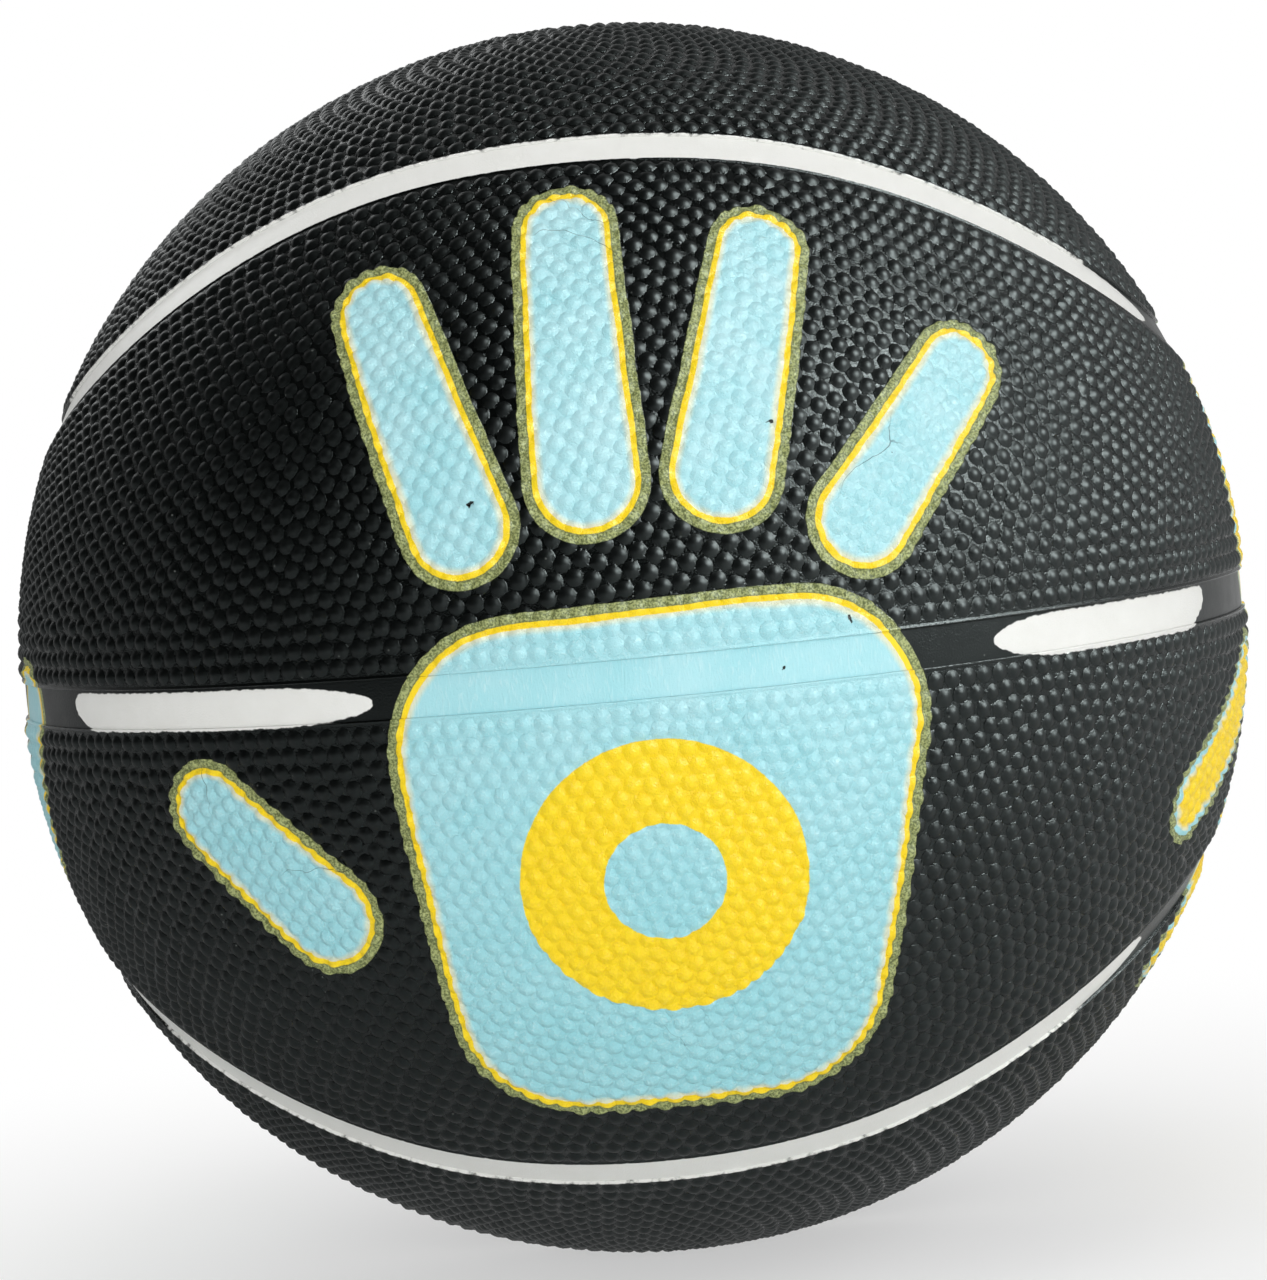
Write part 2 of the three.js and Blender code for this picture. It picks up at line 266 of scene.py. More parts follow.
def white_paint(p):
    above, before, beyond = beside_channels(p)
    degrees = np.degrees(np.arctan2(p[:, 0], -p[:, 1]))
    length = math.radians(1) * BALL
    loop_length = length * math.cos(math.radians(LOOP_QUARTER))
    upper = strokes(degrees, loop_length, beyond, UPPER_STROKES)
    lower = strokes(degrees, loop_length, beyond, LOWER_STROKES)
    since = beyond - CROWN_END
    left = 1 - np.clip(since / CROWN_TAPER, 0, 1)
    crown = np.minimum(PAINT_HALF * np.sqrt(1 - left**2) - np.abs(before), since)
    centre = strokes(degrees, length, above, CENTRE_STROKES)
    white = np.maximum(centre, np.where(above > 0, upper, lower))
    return np.clip(np.maximum(white, crown), -INK_REACH, INK_REACH)


def finger_pad(u, v, base, tip, base_radius, tip_radius):
    run = np.subtract(tip, base)
    share = np.clip(((u - base[0]) * run[0] + (v - base[1]) * run[1]) / (run @ run), 0, 1)
    radius = base_radius + share * (tip_radius - base_radius)
    return radius - np.hypot(u - base[0] - share * run[0], v - base[1] - share * run[1])


def rounded(u, v, corners, radius):
    """Distance inside a convex outline given clockwise, widened by a radius that rounds its corners."""
    deep = np.full(u.shape, np.inf)
    nearest = np.full(u.shape, np.inf)
    for a, b in zip(corners, corners[1:] + corners[:1]):
        run = np.subtract(b, a)
        deep = np.minimum(deep, ((u - a[0]) * run[1] - (v - a[1]) * run[0]) / np.hypot(*run))
        nearest = np.minimum(nearest, -finger_pad(u, v, a, b, 0.0, 0.0))
    return np.where(deep > 0, deep, -nearest) + radius


def guide_frame(azimuth, elevation, lean, mirror):
    """A guide's middle and upward direction. Lean turns it clockwise seen from outside."""
    a, e, t = (math.radians(x) for x in (azimuth, elevation, lean))
    middle = direction(a, e)
    up = direction(a, e + math.pi / 2)
    right = np.cross(up, middle)
    return middle, math.cos(t) * up + math.sin(t) * right, mirror


# Guides as azimuth, elevation and lean in degrees, and -1 for the other hand.
BLUE_GUIDES = (guide_frame(2.25, 3.6, 5.0, 1), guide_frame(-112.0, 2.0, -20.0, -1))
GOLD_GUIDES = (guide_frame(103.0, -6.0, 198.0, 1),)


def guide_ink(p, guide):
    """Distances inside a guide's pads and inside the ring on its palm."""
    middle, up, mirror = guide
    angle = np.arccos(np.clip(p @ middle, -1, 1))
    scale = BALL * angle / np.maximum(np.sin(angle), 1e-6)
    u, v = mirror * scale * (p @ np.cross(up, middle)), scale * (p @ up)
    pads = rounded(u, v, PALM, PALM_ROUND)
    for finger in FINGERS:
        pads = np.maximum(pads, finger_pad(u, v, *finger))
    ring = RING_HALF - np.abs(np.hypot(u - RING_AT[0], v - RING_AT[1]) - RING_RADIUS)
    return pads, ring


def paint_layers(p):
    """Every paint's distance at directions, kept near the edges where it matters."""
    layers = {"white": white_paint(p)}
    for name, guides in (("blue", BLUE_GUIDES), ("gold", GOLD_GUIDES)):
        pads, rings = zip(*(guide_ink(p, g) for g in guides))
        layers[name] = np.clip(np.max(pads, axis=0), -INK_REACH, INK_REACH)
        layers[name + "_ring"] = np.clip(np.max(rings, axis=0), -INK_REACH, INK_REACH)
    return layers


# Meshes.
def mesh_piece(name, places, faces, relief, material, node):
    """A piece of the ball from places in millimetres, with its relief and paints as point attributes."""
    mesh = bpy.data.meshes.new(name)
    rested = np.maximum(places, (-np.inf, -np.inf, -REST_PLANE))
    mesh.vertices.add(len(places))
    mesh.vertices.foreach_set("co", (rested * MM).ravel())
    mesh.loops.add(faces.size)
    mesh.loops.foreach_set("vertex_index", faces.ravel().astype(np.int32))
    mesh.polygons.add(len(faces))
    mesh.polygons.foreach_set("loop_start", np.arange(0, faces.size, faces.shape[1], dtype=np.int32))
    mesh.update(calc_edges=True)
    mesh.polygons.foreach_set("use_smooth", np.ones(len(faces), bool))
    mesh.set_sharp_from_angle(angle=math.radians(SHARP_ANGLE))
    for key, values in {"relief": relief, **paint_layers(unit(places))}.items():
        mesh.attributes.new(key, "FLOAT", "POINT").data.foreach_set("value", values.astype(np.float32))
    mesh.materials.append(material)
    piece = bpy.data.objects.new(name, mesh)
    bpy.context.scene.collection.objects.link(piece)
    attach(piece, "root")
    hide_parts(node)


def sprinkled(spacing):
    """Directions spread over the whole ball at about the given spacing."""
    count = round(4 * math.pi * BALL**2 / (spacing**2 * math.sqrt(3) / 2))
    i = np.arange(count) + 0.5
    z = 1 - 2 * i / count
    turn = i * math.pi * (3 - math.sqrt(5))
    level = np.sqrt(1 - z * z)
    return np.stack([level * np.cos(turn), level * np.sin(turn), z], -1)


def apart(p, q):
    return BALL * np.sqrt(np.maximum(2 - 2 * p @ q.T, 1e-9))


def pebble_centres(sides_at, kind, rng):
    """A row of pebbles along the panel's edges, and the rest pushed apart until they nearly pack evenly."""
    border = np.concatenate([evenly(s, PITCH) for s in sides_at(HALF_CHANNEL + FIRST_ROW)])
    inner = sprinkled(PITCH)
    inner = inner[inside_panel(inner, kind) > FIRST_ROW + SECOND_ROW * PITCH]
    inner = unit(inner + rng.normal(0, SCATTER * PITCH / BALL, inner.shape))
    reach = RELAX_REACH * PITCH
    own = np.arange(len(inner))
    for _ in range(RELAX_ROUNDS):
        every = np.concatenate([inner, border])
        gap = apart(inner, every)
        push = np.clip(1 - gap / reach, 0, None) ** 2 / gap
        push[own, own] = 0
        away = inner * push.sum(1)[:, None] - push @ every
        inner = unit(inner + RELAX_PUSH * PITCH * away)
    return np.concatenate([inner, border])


def pebble_points(centres, rng):
    """Points on every pebble: directions, radii from the ball's centre, and height as a share.
    Pebbles are round, and flattened where they would come closer to a neighbour than the gap."""
    count = len(centres)
    radius = PEBBLE_RADIUS * (1 + SIZE_SPREAD * np.clip(rng.standard_normal(count), -2, 2))
    height = (BALL - VALLEY) * (1 - HEIGHT_SPREAD * rng.random(count))
    phase = rng.random(count) * 2 * math.pi
    across = unit(np.cross(centres, SKEW))
    along = np.cross(centres, across)
    spread = apart(centres, centres)
    np.fill_diagonal(spread, np.inf)
    near = np.argpartition(spread, NEIGHBOURS, axis=1)[:, :NEIGHBOURS]
    halfway = (np.take_along_axis(spread, near, 1) - PEBBLE_GAP) / 2
    bearing = np.arctan2(np.einsum("nkj,nj->nk", centres[near], along),
                         np.einsum("nkj,nj->nk", centres[near], across))
    points, radii, shares = [centres], [VALLEY + height], [np.ones(count)]
    for share, steps in PEBBLE_RINGS:
        left = 1 - share**PEBBLE_SHAPE
        for k in range(steps):
            turn = (phase + 2 * math.pi * k / steps)[:, None]
            facing = np.maximum(np.cos(turn - bearing), LEAST_FACING)
            reach = np.minimum(radius, (halfway / facing).min(1))
            out = np.tan(reach * share / BALL)[:, None]
            points.append(unit(centres + out * (np.cos(turn) * across + np.sin(turn) * along)))
            radii.append(VALLEY + height * left)
            shares.append(np.full(count, left))
    return np.concatenate(points), np.concatenate(radii), np.concatenate(shares)


def flat_map(p, middle):
    """Directions on a plane that touches the ball at the panel's middle, with angles kept."""
    right = np.array([1.0, 0.0, 0.0])
    scale = 2 / (1 + p @ middle)
    return np.stack([p @ right * scale, p @ np.cross(middle, right) * scale], -1)


def turning(a, b, c):
    return (b[:, 0] - a[:, 0]) * (c[:, 1] - a[:, 1]) - (b[:, 1] - a[:, 1]) * (c[:, 0] - a[:, 0])


def triangles_inside(points, outline):
    """Triangles over flat points within an outline that comes after them in the list."""
    every = np.concatenate([points, outline])
    ring = list(range(len(points), len(every)))
    found = delaunay_2d_cdt([Vector(q) for q in every.tolist()], [], [ring], 1, 1e-9, True)
    source = np.array([ids[0] for ids in found[3]])
    faces = source[np.array(found[2])]
    back = turning(*(every[faces[:, k]] for k in range(3))) < 0
    faces[back] = faces[back][:, ::-1]
    return faces


def pebbled_panel(sides_at, kind, middle, seed):
    """A closed panel with its pebbles: places, triangles, and how high each point is on a pebble."""
    rng = np.random.default_rng(seed)
    points, radii, shares = pebble_points(pebble_centres(sides_at, kind, rng), rng)
    counts = [len(evenly(s, EDGE_SPACING)) for s in sides_at(HALF_CHANNEL)]
    loops = []
    for inset, _ in EDGE_STEPS:
        sides = sides_at(HALF_CHANNEL + inset)
        loops.append(np.concatenate([evenly(s, steps=n) for s, n in zip(sides, counts)]))
    lining = sprinkled(LINING_SPACING)
    lining = lining[inside_panel(lining, kind) > LINING_SPACING / 3]

    around = len(loops[0])
    first = [len(points) + k * around for k in range(len(loops))]
    last = len(points) + len(loops) * around
    places = [points * radii[:, None]]
    places += [loop * radius for loop, (_, radius) in zip(loops, EDGE_STEPS)]
    places.append(lining * COVER_INNER)

    top = triangles_inside(flat_map(points, middle), flat_map(loops[-1], middle))
    faces = [np.where(top < len(points), top, top - len(points) + first[-1])]
    i = np.arange(around)
    j = (i + 1) % around
    for low, high in zip(first, first[1:]):
        faces.append(np.stack([low + i, low + j, high + j], -1))
        faces.append(np.stack([low + i, high + j, high + i], -1))
    under = triangles_inside(flat_map(lining, middle), flat_map(loops[0], middle))
    under = np.where(under < len(lining), under + last, under - len(lining) + first[0])
    faces.append(under[:, ::-1])
    relief = np.concatenate([shares, np.zeros(len(loops) * around + len(lining))])
    return np.concatenate(places), np.concatenate(faces), relief


def patch(a):
    """Quads over a grid of point numbers."""
    return np.stack([a[:-1, :-1], a[:-1, 1:], a[1:, 1:], a[1:, :-1]], -1).reshape(-1, 4)


def strip_mesh(line, turns, closed, sign):
    """A closed strip along line(turn, distance), its floor at the channel's depth, mirrored by sign."""
    turn, across = np.meshgrid(turns, ACROSS, indexing="ij")
    top = line(turn, across).reshape(-1, 3) * sign
    grid = np.arange(turn.size).reshape(turn.shape)
    if closed:
        grid = np.concatenate([grid, grid[:1]])
    low = grid + turn.size
    faces = [patch(grid), patch(low)[:, ::-1]]
    faces.append(patch(np.stack([grid[:, 0], low[:, 0]])))
    faces.append(patch(np.stack([low[:, -1], grid[:, -1]])))
    if not closed:
        faces.append(patch(np.stack([low[0], grid[0]])))
        faces.append(patch(np.stack([grid[-1], low[-1]])))
    faces = np.concatenate(faces)
    if np.prod(sign) > 0:
        faces = faces[:, ::-1]
    return np.concatenate([top * CHANNEL_FLOOR, top * COVER_INNER]), faces


# Material nodes.
def new_material(name):
    material = bpy.data.materials.new(name)
    material.use_nodes = True
    tree = material.node_tree
    tree.nodes.clear()
    out = tree.nodes.new("ShaderNodeOutputMaterial")
    shader = tree.nodes.new("ShaderNodeBsdfPrincipled")
    tree.links.new(shader.outputs[0], out.inputs["Surface"])
    return material, tree, shader


def feed(tree, socket, value):
    if isinstance(value, bpy.types.NodeSocket):
        tree.links.new(value, socket)
    else:
        socket.default_value = value


def add(tree, kind, inputs, output=0, **settings):
    node = tree.nodes.new("ShaderNode" + kind)
    for key, value in settings.items():
        setattr(node, key, value)
    for key, value in inputs.items():
        feed(tree, node.inputs[key], value)
    return node.outputs[output]


def maths(tree, operation, a, b=0.0):
    return add(tree, "Math", {0: a, 1: b}, operation=operation)


def step(tree, value, low, high, bottom=0.0, top=1.0):
    names = {"Value": value, "From Min": low, "From Max": high, "To Min": bottom, "To Max": top}
    return add(tree, "MapRange", names, interpolation_type="SMOOTHSTEP")


def blend(tree, share, first, second):
    return add(tree, "Mix", {0: share, 6: first, 7: second}, 2, data_type="RGBA")


def layer(tree, name):
    return add(tree, "Attribute", {}, "Fac", attribute_name=name)


def position(tree):
    return add(tree, "TexCoord", {}, "Object")


def upward(tree):
    return add(tree, "SeparateXYZ", {0: position(tree)}, "Z")


def noise(tree, scale, detail=2.0, output="Fac", twist=0.0, stretch=1.0):
    """Noise at points of the ball. Stretch below 1 draws it out upright into streaks."""
    where = position(tree)
    if stretch != 1.0:
        where = add(tree, "VectorMath", {0: where, 1: (1.0, 1.0, stretch)}, operation="MULTIPLY")
    names = {"Vector": where, "Scale": scale, "Detail": detail, "Distortion": twist}
    return add(tree, "TexNoise", names, output)


def creases(tree, stretch):
    return noise(tree, CREASE_SCALE, 3.0, twist=1.6, stretch=stretch)


def waver(tree, scale, size):
    """A distance that wanders either way by about a third of the given size."""
    return maths(tree, "MULTIPLY", maths(tree, "SUBTRACT", noise(tree, scale, 3.0), 0.5), size)


def bent_position(tree, scale, size):
    """Positions shifted about, so that what is drawn on them gets irregular outlines."""
    apart_by = {0: noise(tree, scale, 2.0, "Color"), 1: (0.5, 0.5, 0.5)}
    shift = add(tree, "VectorMath", apart_by, operation="SUBTRACT")
    shift = add(tree, "VectorMath", {0: shift, "Scale": size}, operation="SCALE")
    return add(tree, "VectorMath", {0: position(tree), 1: shift})


def specks(tree, scale, radius, share, where):
    """Scattered specks: cells of which a share hold one."""
    node = tree.nodes.new("ShaderNodeTexVoronoi")
    feed(tree, node.inputs["Vector"], where)
    node.inputs["Scale"].default_value = scale
    near = step(tree, node.outputs["Distance"], radius * 0.8, radius, 1.0, 0.0)
    lot = add(tree, "SeparateColor", {0: node.outputs["Color"]})
    return maths(tree, "MULTIPLY", near, maths(tree, "LESS_THAN", lot, share))


def cracks(tree):
    """Hairline cracks along the walls of large cells, broken off where a slow noise is low."""
    names = {"Vector": bent_position(tree, 90.0, 0.012), "Scale": 34.0}
    wall = add(tree, "TexVoronoi", names, feature="DISTANCE_TO_EDGE")
    line = step(tree, wall, 0.0006, 0.0026, 1.0, 0.0)
    return maths(tree, "MULTIPLY", line, step(tree, noise(tree, 26.0), 0.57, 0.62, 0.0, 0.7))


BLACK = (0.0008, 0.0011, 0.0010, 1)
BLACK_WORN = (0.0018, 0.0023, 0.0021, 1)
DUST = (0.07, 0.075, 0.07, 1)
SKY = (0.275, 0.62, 0.675, 1)
# Paler blue: partly the ink's own mottling, partly painted sheen on the ball's upper half.
SKY_MOTTLE_AND_SHEEN = (0.44, 0.71, 0.755, 1)
# Crease blue: partly the creased film's own lighter tone, partly painted glints.
SKY_CREASE_GLINT = (0.50, 0.74, 0.77, 1)
GOLD = (0.93, 0.71, 0.010, 1)
GOLD_DEEP = (0.89, 0.60, 0.006, 1)
OLIVE = (0.42, 0.46, 0.19, 1)
OLIVE_DARK = (0.13, 0.155, 0.05, 1)
UNDERCOAT = (0.68, 0.70, 0.52, 1)
CHALK = (0.775, 0.775, 0.75, 1)
CHALK_DULL = (0.71, 0.71, 0.675, 1)
COOL_GLOSS = (0.86, 1.0, 0.99, 1)

# Where each ink sets in, as millimetres inside the edge of its pad, ring or stroke.
HALO_EDGE = (-1.34, -1.2)
SHADE_EDGE = (-0.25, -0.05)
OUTLINE_EDGE = (-0.06, 0.06)
UNDERCOAT_EDGE = (0.72, 0.86)
FILL_EDGE = (0.9, 1.9)
RING_EDGE = (-0.07, 0.07)
WHITE_EDGE = (-0.1, 0.1)

# Finish: roughness of ink, how much rougher pebbles are than the valleys, how much it varies,
# the scales of the rubber's grain and the ink's creases, and how deep creases are beside grain.
INK_ROUGH, CROWN_ROUGHER, ROUGH_VARIES = 0.33, 0.22, 0.03
GRAIN_SCALE, CREASE_SCALE, CREASE_DEPTH = 4200.0, 2000.0, 2.4


def printed(tree, base, relief, stretch):
    """The guides' inks over a base colour, chipped and cracked: the colour, and where there is ink."""
    edge = maths(tree, "ADD", waver(tree, 110.0, 0.8), waver(tree, 2400.0, 0.16))
    blue = maths(tree, "ADD", layer(tree, "blue"), edge)
    gold = maths(tree, "ADD", layer(tree, "gold"), edge)
    film = maths(tree, "ADD", maths(tree, "MAXIMUM", blue, gold), maths(tree, "MULTIPLY", relief, 0.04))
    halo = step(tree, film, *HALO_EDGE)
    # Paler blue in random mottles, more of it towards the top as painted sheen from the light above.
    mottle_and_top_sheen = maths(tree, "MULTIPLY", noise(tree, 140.0, 3.0), step(tree, upward(tree), -0.06, 0.05, 0.5, 1.4))
    sky = blend(tree, mottle_and_top_sheen, SKY, SKY_MOTTLE_AND_SHEEN)
    # Lighter blue along the ink's creases: partly the film's own crease tone, partly painted glints.
    sky = blend(tree, step(tree, creases(tree, stretch), 0.52, 0.72, 0.0, 0.6), sky, SKY_CREASE_GLINT)
    yellow = blend(tree, noise(tree, 500.0, 3.0), GOLD_DEEP, GOLD)
    olive = blend(tree, step(tree, noise(tree, 3400.0), 0.36, 0.64), OLIVE_DARK, OLIVE)
    colour = blend(tree, maths(tree, "MULTIPLY", halo, 0.93), base, olive)
    slip = waver(tree, 45.0, 1.1)
    for ink, line, fill in ((blue, yellow, sky), (gold, sky, yellow)):
        colour = blend(tree, step(tree, ink, *SHADE_EDGE, 0.0, 0.6), colour, OLIVE_DARK)
        colour = blend(tree, step(tree, ink, *OUTLINE_EDGE), colour, line)
        colour = blend(tree, step(tree, ink, *UNDERCOAT_EDGE), colour, UNDERCOAT)
        colour = blend(tree, step(tree, maths(tree, "ADD", ink, slip), *FILL_EDGE), colour, fill)
    for name, fill in (("blue_ring", yellow), ("gold_ring", sky)):
        ring = maths(tree, "ADD", layer(tree, name), edge)
        colour = blend(tree, step(tree, ring, *RING_EDGE), colour, fill)
    chips = specks(tree, 130.0, 0.085, 0.22, bent_position(tree, 900.0, 0.0016))
    flaws = maths(tree, "MAXIMUM", chips, cracks(tree))
    colour = blend(tree, maths(tree, "MULTIPLY", flaws, halo), colour, base)
    return colour, maths(tree, "MULTIPLY", halo, maths(tree, "SUBTRACT", 1.0, chips))


def cover_material(name, bare_rough, grain_depth, stretch):
    """Black rubber with its line paint and printed guides. Between the pebbles it is glossier and its
    grain is strongest. Stretch below 1 draws the ink's creases out into streaks."""
    material, tree, shader = new_material(name)
    relief = layer(tree, "relief")
    rubber = blend(tree, noise(tree, 60.0, 4.0), BLACK, BLACK_WORN)
    rubber = blend(tree, specks(tree, 760.0, 0.11, 0.12, position(tree)), rubber, DUST)
    stroke = maths(tree, "ADD", layer(tree, "white"), waver(tree, 900.0, 0.6))
    white = step(tree, stroke, *WHITE_EDGE)
    chalk = blend(tree, noise(tree, 300.0, 3.0), CHALK_DULL, CHALK)
    colour, inked = printed(tree, blend(tree, white, rubber, chalk), relief, stretch)
    feed(tree, shader.inputs["Base Color"], colour)
    shader.inputs["Specular Tint"].default_value = COOL_GLOSS
    covered = maths(tree, "MAXIMUM", white, inked)
    least, most = bare_rough - ROUGH_VARIES, bare_rough + ROUGH_VARIES
    rough = step(tree, noise(tree, 240.0, 3.0), 0.3, 0.7, least, most)
    rough = maths(tree, "ADD", rough, step(tree, relief, 0.01, 0.2, 0.0, CROWN_ROUGHER))
    feed(tree, shader.inputs["Roughness"], add(tree, "Mix", {0: covered, 2: rough, 3: INK_ROUGH}))
    valley = step(tree, relief, 0.05, 0.5, 1.0, 0.1)
    grain = maths(tree, "MULTIPLY", noise(tree, GRAIN_SCALE, 2.0), valley)
    depth = maths(tree, "MULTIPLY", inked, CREASE_DEPTH)
    wrinkle = maths(tree, "MULTIPLY", creases(tree, stretch), depth)
    bump = {"Height": maths(tree, "ADD", grain, wrinkle), "Strength": 0.7, "Distance": grain_depth}
    feed(tree, shader.inputs["Normal"], add(tree, "Bump", bump))
    return material


def plain_material(name, dark, light, scale, roughness, depth):
    """Rubber or thread that shows only round the needle hole or when the ball is opened."""
    material, tree, shader = new_material(name)
    feed(tree, shader.inputs["Base Color"], blend(tree, noise(tree, scale, 4.0), dark, light))
    rough = step(tree, noise(tree, 4 * scale), 0.3, 0.7, roughness - 0.06, roughness + 0.06)
    feed(tree, shader.inputs["Roughness"], rough)
    bump = {"Height": noise(tree, 8 * scale, 3.0), "Strength": 0.3, "Distance": depth}
    feed(tree, shader.inputs["Normal"], add(tree, "Bump", bump))
    return material


# Cover panels, each drawn once and mirrored.
pebbled = cover_material("pebbled_rubber", 0.22, 0.00014, 1.0)
cap_middle = direction(0.0, math.radians(CAP_MIDDLE))
PANELS = (
    (band_sides, "band", direction(0.0, math.radians(BAND_MIDDLE)), (("upper", 1), ("lower", -1))),
    (top_sides, "top", cap_middle, (("top", 1),)),
    (bottom_sides, "bottom", cap_middle, (("bottom", -1),)),
)
for seed, (sides_at, kind, middle, levels) in enumerate(PANELS):
    places, faces, relief = pebbled_panel(sides_at, kind, middle, seed)
    for level, z in levels:
        for side, y in (("front", 1), ("rear", -1)):
            node = f"{level}_{side}_panel"
            order = faces if y * z > 0 else faces[:, ::-1]
            mesh_piece("pebbled_" + node, places * (1, y, z), order, relief, pebbled, node)

# Channel strips. The upright channel's run between the others' sides, and the top ones end at the eye.
smooth = cover_material("channel_rubber", 0.32, 0.00007, 0.2)
side_middle, side_slope = loop_middle(math.pi / 2)
loop_side = math.pi / 2 - side_middle
loop_half = HALF_CHANNEL / BALL * side_slope
centre_turn = math.pi / 2 - math.asin(HALF_CHANNEL / BALL)
eye_turn = math.asin(EYE_HOLE / BALL)


def turns_between(start, end):
    return np.linspace(start, end, max(3, round((end - start) * BALL / STRIP_SPACING)))


def from_eye(turn, across):
    """A top strip's line, whose inner end follows the eye's rim."""
    inner = np.arcsin(np.sqrt(EYE_HOLE**2 - across**2) / BALL)
    outer = loop_side - loop_half
    return crown_line(inner + (turn - eye_turn) / (outer - eye_turn) * (outer - inner), across)


round_ball = turns_between(0, 2 * math.pi)[:-1]
side_turns = turns_between(loop_side + loop_half, centre_turn)
top_turns = turns_between(eye_turn, loop_side - loop_half)
bottom_turns = turns_between(-loop_side + loop_half, loop_side - loop_half)
STRIPS = [
    ("centre_channel", centre_line, round_ball, True, (1, 1, 1), "line_black"),
    ("upper_loop", loop_line, round_ball, True, (1, 1, 1), "line_white"),
    ("lower_loop", loop_line, round_ball, True, (1, 1, -1), "line_white"),
    ("bottom", crown_line, bottom_turns, False, (1, 1, -1), "line_white"),
]
for side, x in (("right", 1), ("left", -1)):
    STRIPS.append((f"upper_{side}", crown_line, side_turns, False, (x, 1, 1), "line_white"))
    STRIPS.append((f"lower_{side}", crown_line, side_turns, False, (x, 1, -1), "line_white"))
    STRIPS.append((f"top_{side}", from_eye, top_turns, False, (x, 1, 1), "line_white"))
for name, line, turns, closed, sign, slot in STRIPS:
    places, faces = strip_mesh(line, turns, closed, sign)
    flat = np.zeros(len(places))
    mesh_piece(f"painted_{name}_strip", places, faces, flat, smooth, f"{name}_strip")

# The layers inside and the valve keep their solids. Each has (dark, light, scale, roughness, depth).
INNER = {
    "carcass": ((0.03, 0.026, 0.022, 1), (0.06, 0.052, 0.045, 1), 90.0, 0.8, 0.0002),
    "thread_winding": ((0.52, 0.48, 0.38, 1), (0.72, 0.69, 0.58, 1), 220.0, 0.72, 0.0004),
    "bladder": ((0.012, 0.013, 0.015, 1), (0.026, 0.027, 0.03, 1), 50.0, 0.55, 0.0001),
    "valve_housing": ((0.011, 0.012, 0.013, 1), (0.024, 0.026, 0.028, 1), 400.0, 0.48, 0.0001),
    "valve_plug": ((0.016, 0.017, 0.018, 1), (0.034, 0.036, 0.038, 1), 500.0, 0.5, 0.0001),
}
for name, look in INNER.items():
    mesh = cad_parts[name].data
    mesh.materials.clear()
    mesh.materials.append(plain_material(name, *look))

# Camera, at the photograph's view. Its turn also carries the lamps.
view = (
    Matrix.Rotation(math.radians(VIEW_ROLL), 3, "Y")
    @ Matrix.Rotation(math.radians(VIEW_PITCH), 3, "X")
    @ Matrix.Rotation(math.radians(VIEW_YAW), 3, "Z")
).transposed()
camera = bpy.data.cameras.new("photo_camera")
camera.sensor_fit = "HORIZONTAL"
camera.sensor_width = 36.0
camera.lens = camera.sensor_width * BALL_PIXELS * math.sqrt(VIEW_DISTANCE**2 - 1) / FRAME_WIDTH
camera.shift_x = -(BALL_AT[0] - FRAME_WIDTH / 2) / FRAME_WIDTH
camera.shift_y = (BALL_AT[1] - FRAME_HEIGHT / 2) / FRAME_WIDTH
camera.clip_start, camera.clip_end = 0.01, 50.0
viewer = bpy.data.objects.new("photo_camera", camera)
bpy.context.scene.collection.objects.link(viewer)
right, back, up = (view @ Vector(v) for v in ((1, 0, 0), (0, -1, 0), (0, 0, 1)))
pose = Matrix((right, up, back)).transposed().to_4x4()
pose.translation = back * VIEW_DISTANCE * BALL * MM
viewer.matrix_world = pose
bpy.context.scene.camera = viewer

# Floor: white to the camera, with the ball's shadow near it. In the rubber's reflections it carries painted
# light: painted shade towards the left, lighter to the right, and a painted white glow under the ball.
# Distances in metres.
FLOOR_HALF = 4.0
FLOOR_DROP = 0.00002
FLOOR_WHITE, FLOOR_PAINTED_SHADE = (0.95, 0.95, 0.95, 1), (0.5, 0.5, 0.5, 1)
PAINTED_SHADE_LEFT, PAINTED_LIGHT_RIGHT = -0.1, 0.2
SHADOW_NEAR, SHADOW_FAR = 0.08, 0.26
UNDER_NEAR, UNDER_FAR, UNDER_GLOW = 0.095, 0.125, 0.4
floor_mesh = bpy.data.meshes.new("floor")
level = -REST_PLANE * MM - FLOOR_DROP
corners = [(x * FLOOR_HALF, y * FLOOR_HALF, level) for x, y in ((-1, -1), (1, -1), (1, 1), (-1, 1))]
floor_mesh.from_pydata(corners, [], [(0, 1, 2, 3)])
floor = bpy.data.objects.new("floor", floor_mesh)
bpy.context.scene.collection.objects.link(floor)
material, tree, shader = new_material("floor_white")
glossy = add(tree, "LightPath", {}, "Is Glossy Ray")
rightward = add(tree, "SeparateXYZ", {0: position(tree)}, "X")
# Painted shade towards the left and painted light towards the right, seen only in reflections.
painted_floor_light = blend(tree, step(tree, rightward, PAINTED_SHADE_LEFT, PAINTED_LIGHT_RIGHT), FLOOR_PAINTED_SHADE, FLOOR_WHITE)
feed(tree, shader.inputs["Base Color"], blend(tree, glossy, FLOOR_WHITE, painted_floor_light))
shader.inputs["Roughness"].default_value = 0.9
shader.inputs["Specular IOR Level"].default_value = 0.0
seen = add(tree, "LightPath", {}, "Is Camera Ray")
away = add(tree, "VectorMath", {0: position(tree)}, "Value", operation="LENGTH")
shown = maths(tree, "MULTIPLY", seen, step(tree, away, SHADOW_NEAR, SHADOW_FAR, 0.5, 1.0))
# A painted white glow under the ball, seen only in reflections, where the floor lies in the ball's shadow.
under = maths(tree, "MULTIPLY", glossy, step(tree, away, UNDER_NEAR, UNDER_FAR, UNDER_GLOW, 0.0))
fade = maths(tree, "MAXIMUM", shown, under)
white = add(tree, "Emission", {"Color": (1, 1, 1, 1), "Strength": 1.0})
both = add(tree, "MixShader", {0: fade, 1: shader.outputs[0], 2: white})
tree.links.new(both, tree.nodes["Material Output"].inputs["Surface"])
floor_mesh.materials.append(material)

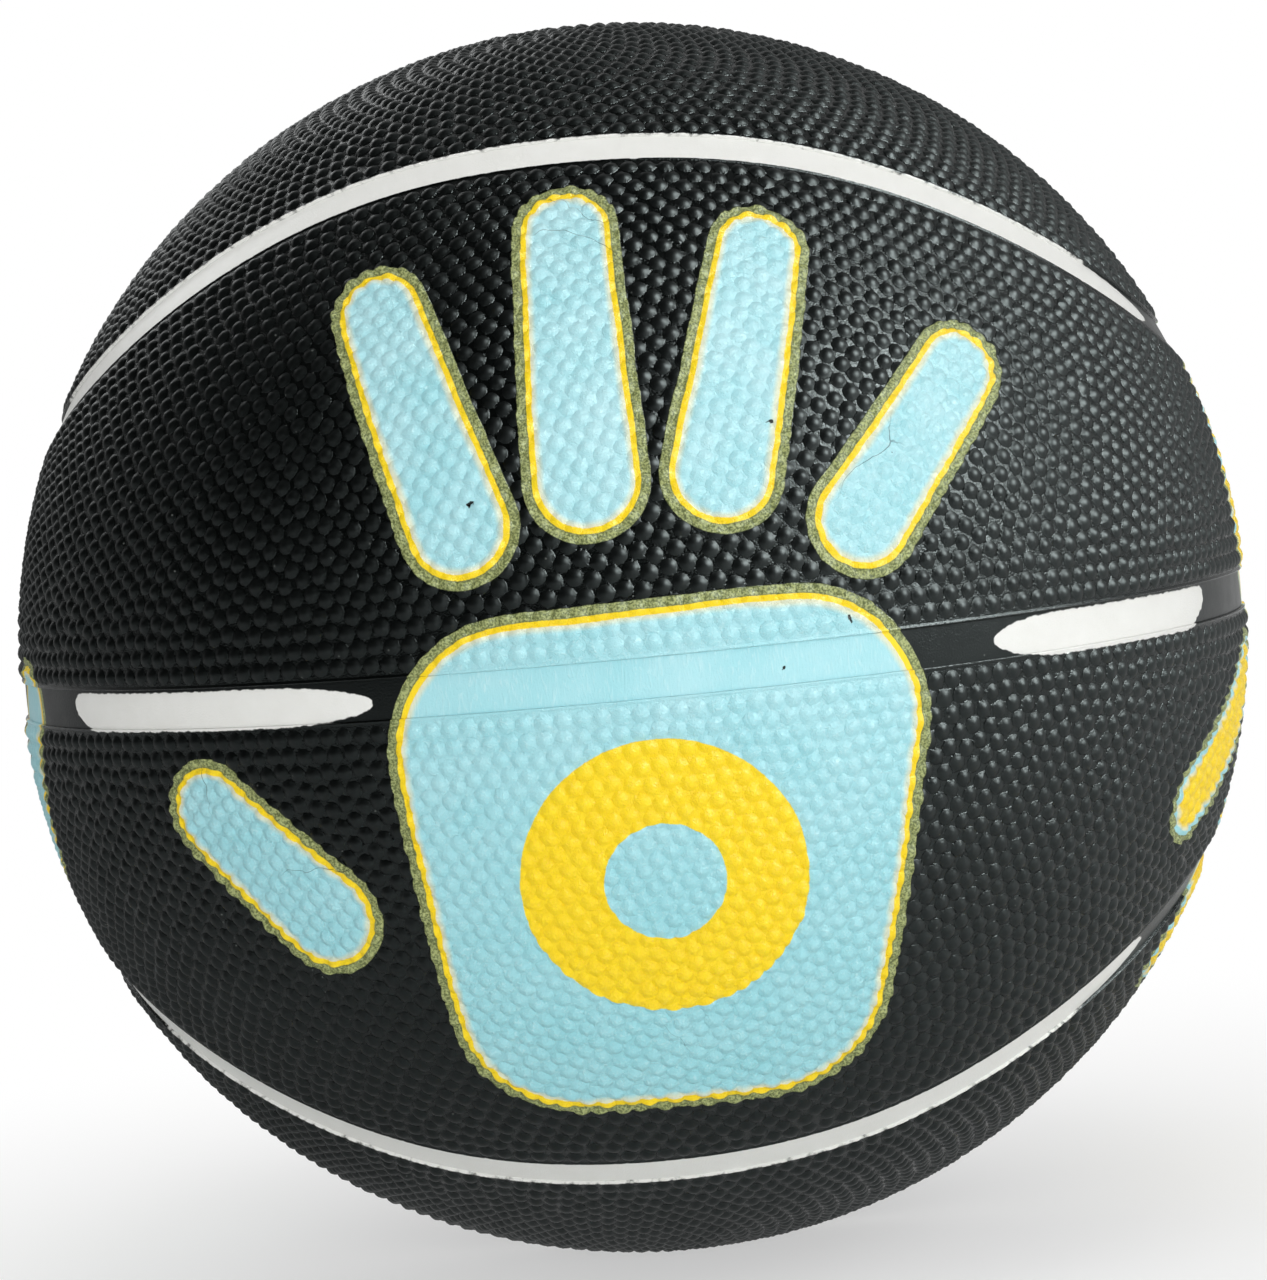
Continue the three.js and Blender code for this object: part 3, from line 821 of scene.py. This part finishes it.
# Room: even soft light, white to the camera; in reflections dim in front and paler behind the ball.
ROOM_LIGHT = 0.62
ROOM_FRONT, ROOM_BEHIND = 0.009, 0.5
world = bpy.data.worlds.new("studio")
bpy.context.scene.world = world
world.use_nodes = True
tree = world.node_tree
tree.nodes.clear()
out = tree.nodes.new("ShaderNodeOutputWorld")
rear = add(tree, "SeparateXYZ", {0: add(tree, "TexCoord", {}, "Generated")}, "Y")
mirrored = step(tree, rear, 0.1, 0.9, ROOM_FRONT, ROOM_BEHIND)
in_gloss = add(tree, "LightPath", {}, "Is Glossy Ray")
light = add(tree, "Mix", {0: in_gloss, 2: ROOM_LIGHT, 3: mirrored})
in_view = add(tree, "LightPath", {}, "Is Camera Ray")
strength = add(tree, "Mix", {0: in_view, 2: light, 3: 1.0})
room = add(tree, "Background", {"Color": (1, 1, 1, 1), "Strength": strength})
tree.links.new(room, out.inputs["Surface"])


def softbox(name, place, size, power, mirrored=True, spread=True):
    """An oval lamp at a place in the view's own axes, turned to the ball, for gloss, for colour or both."""
    lamp = bpy.data.lights.new(name, "AREA")
    lamp.shape = "ELLIPSE"
    lamp.size, lamp.size_y = size
    lamp.energy = power
    holder = bpy.data.objects.new(name, lamp)
    holder.location = view @ Vector(place)
    holder.rotation_euler = holder.location.to_track_quat("Z", "Y").to_euler()
    holder.visible_camera = False
    holder.visible_glossy = mirrored
    holder.visible_diffuse = spread
    bpy.context.scene.collection.objects.link(holder)


softbox("key_light", (0.84, -0.46, 0.72), (0.6, 0.6), 2.2, mirrored=False)
softbox("key_sheen", (0.826, -0.534, 0.68), (0.66, 0.77), 22.5, spread=False)
softbox("side_light", (1.03, 0.25, 0.26), (0.6, 0.6), 0.36, spread=False)
softbox("rim_light", (-0.6, 0.84, 0.72), (0.6, 0.6), 2.1, spread=False)
softbox("front_fill", (0.25, -1.14, 0.06), (0.4, 0.4), 5.5, mirrored=False)
softbox("top_fill", (0.0, -0.36, 1.14), (0.5, 0.5), 1.7, mirrored=False)

bpy.context.scene.view_settings.view_transform = "Standard"
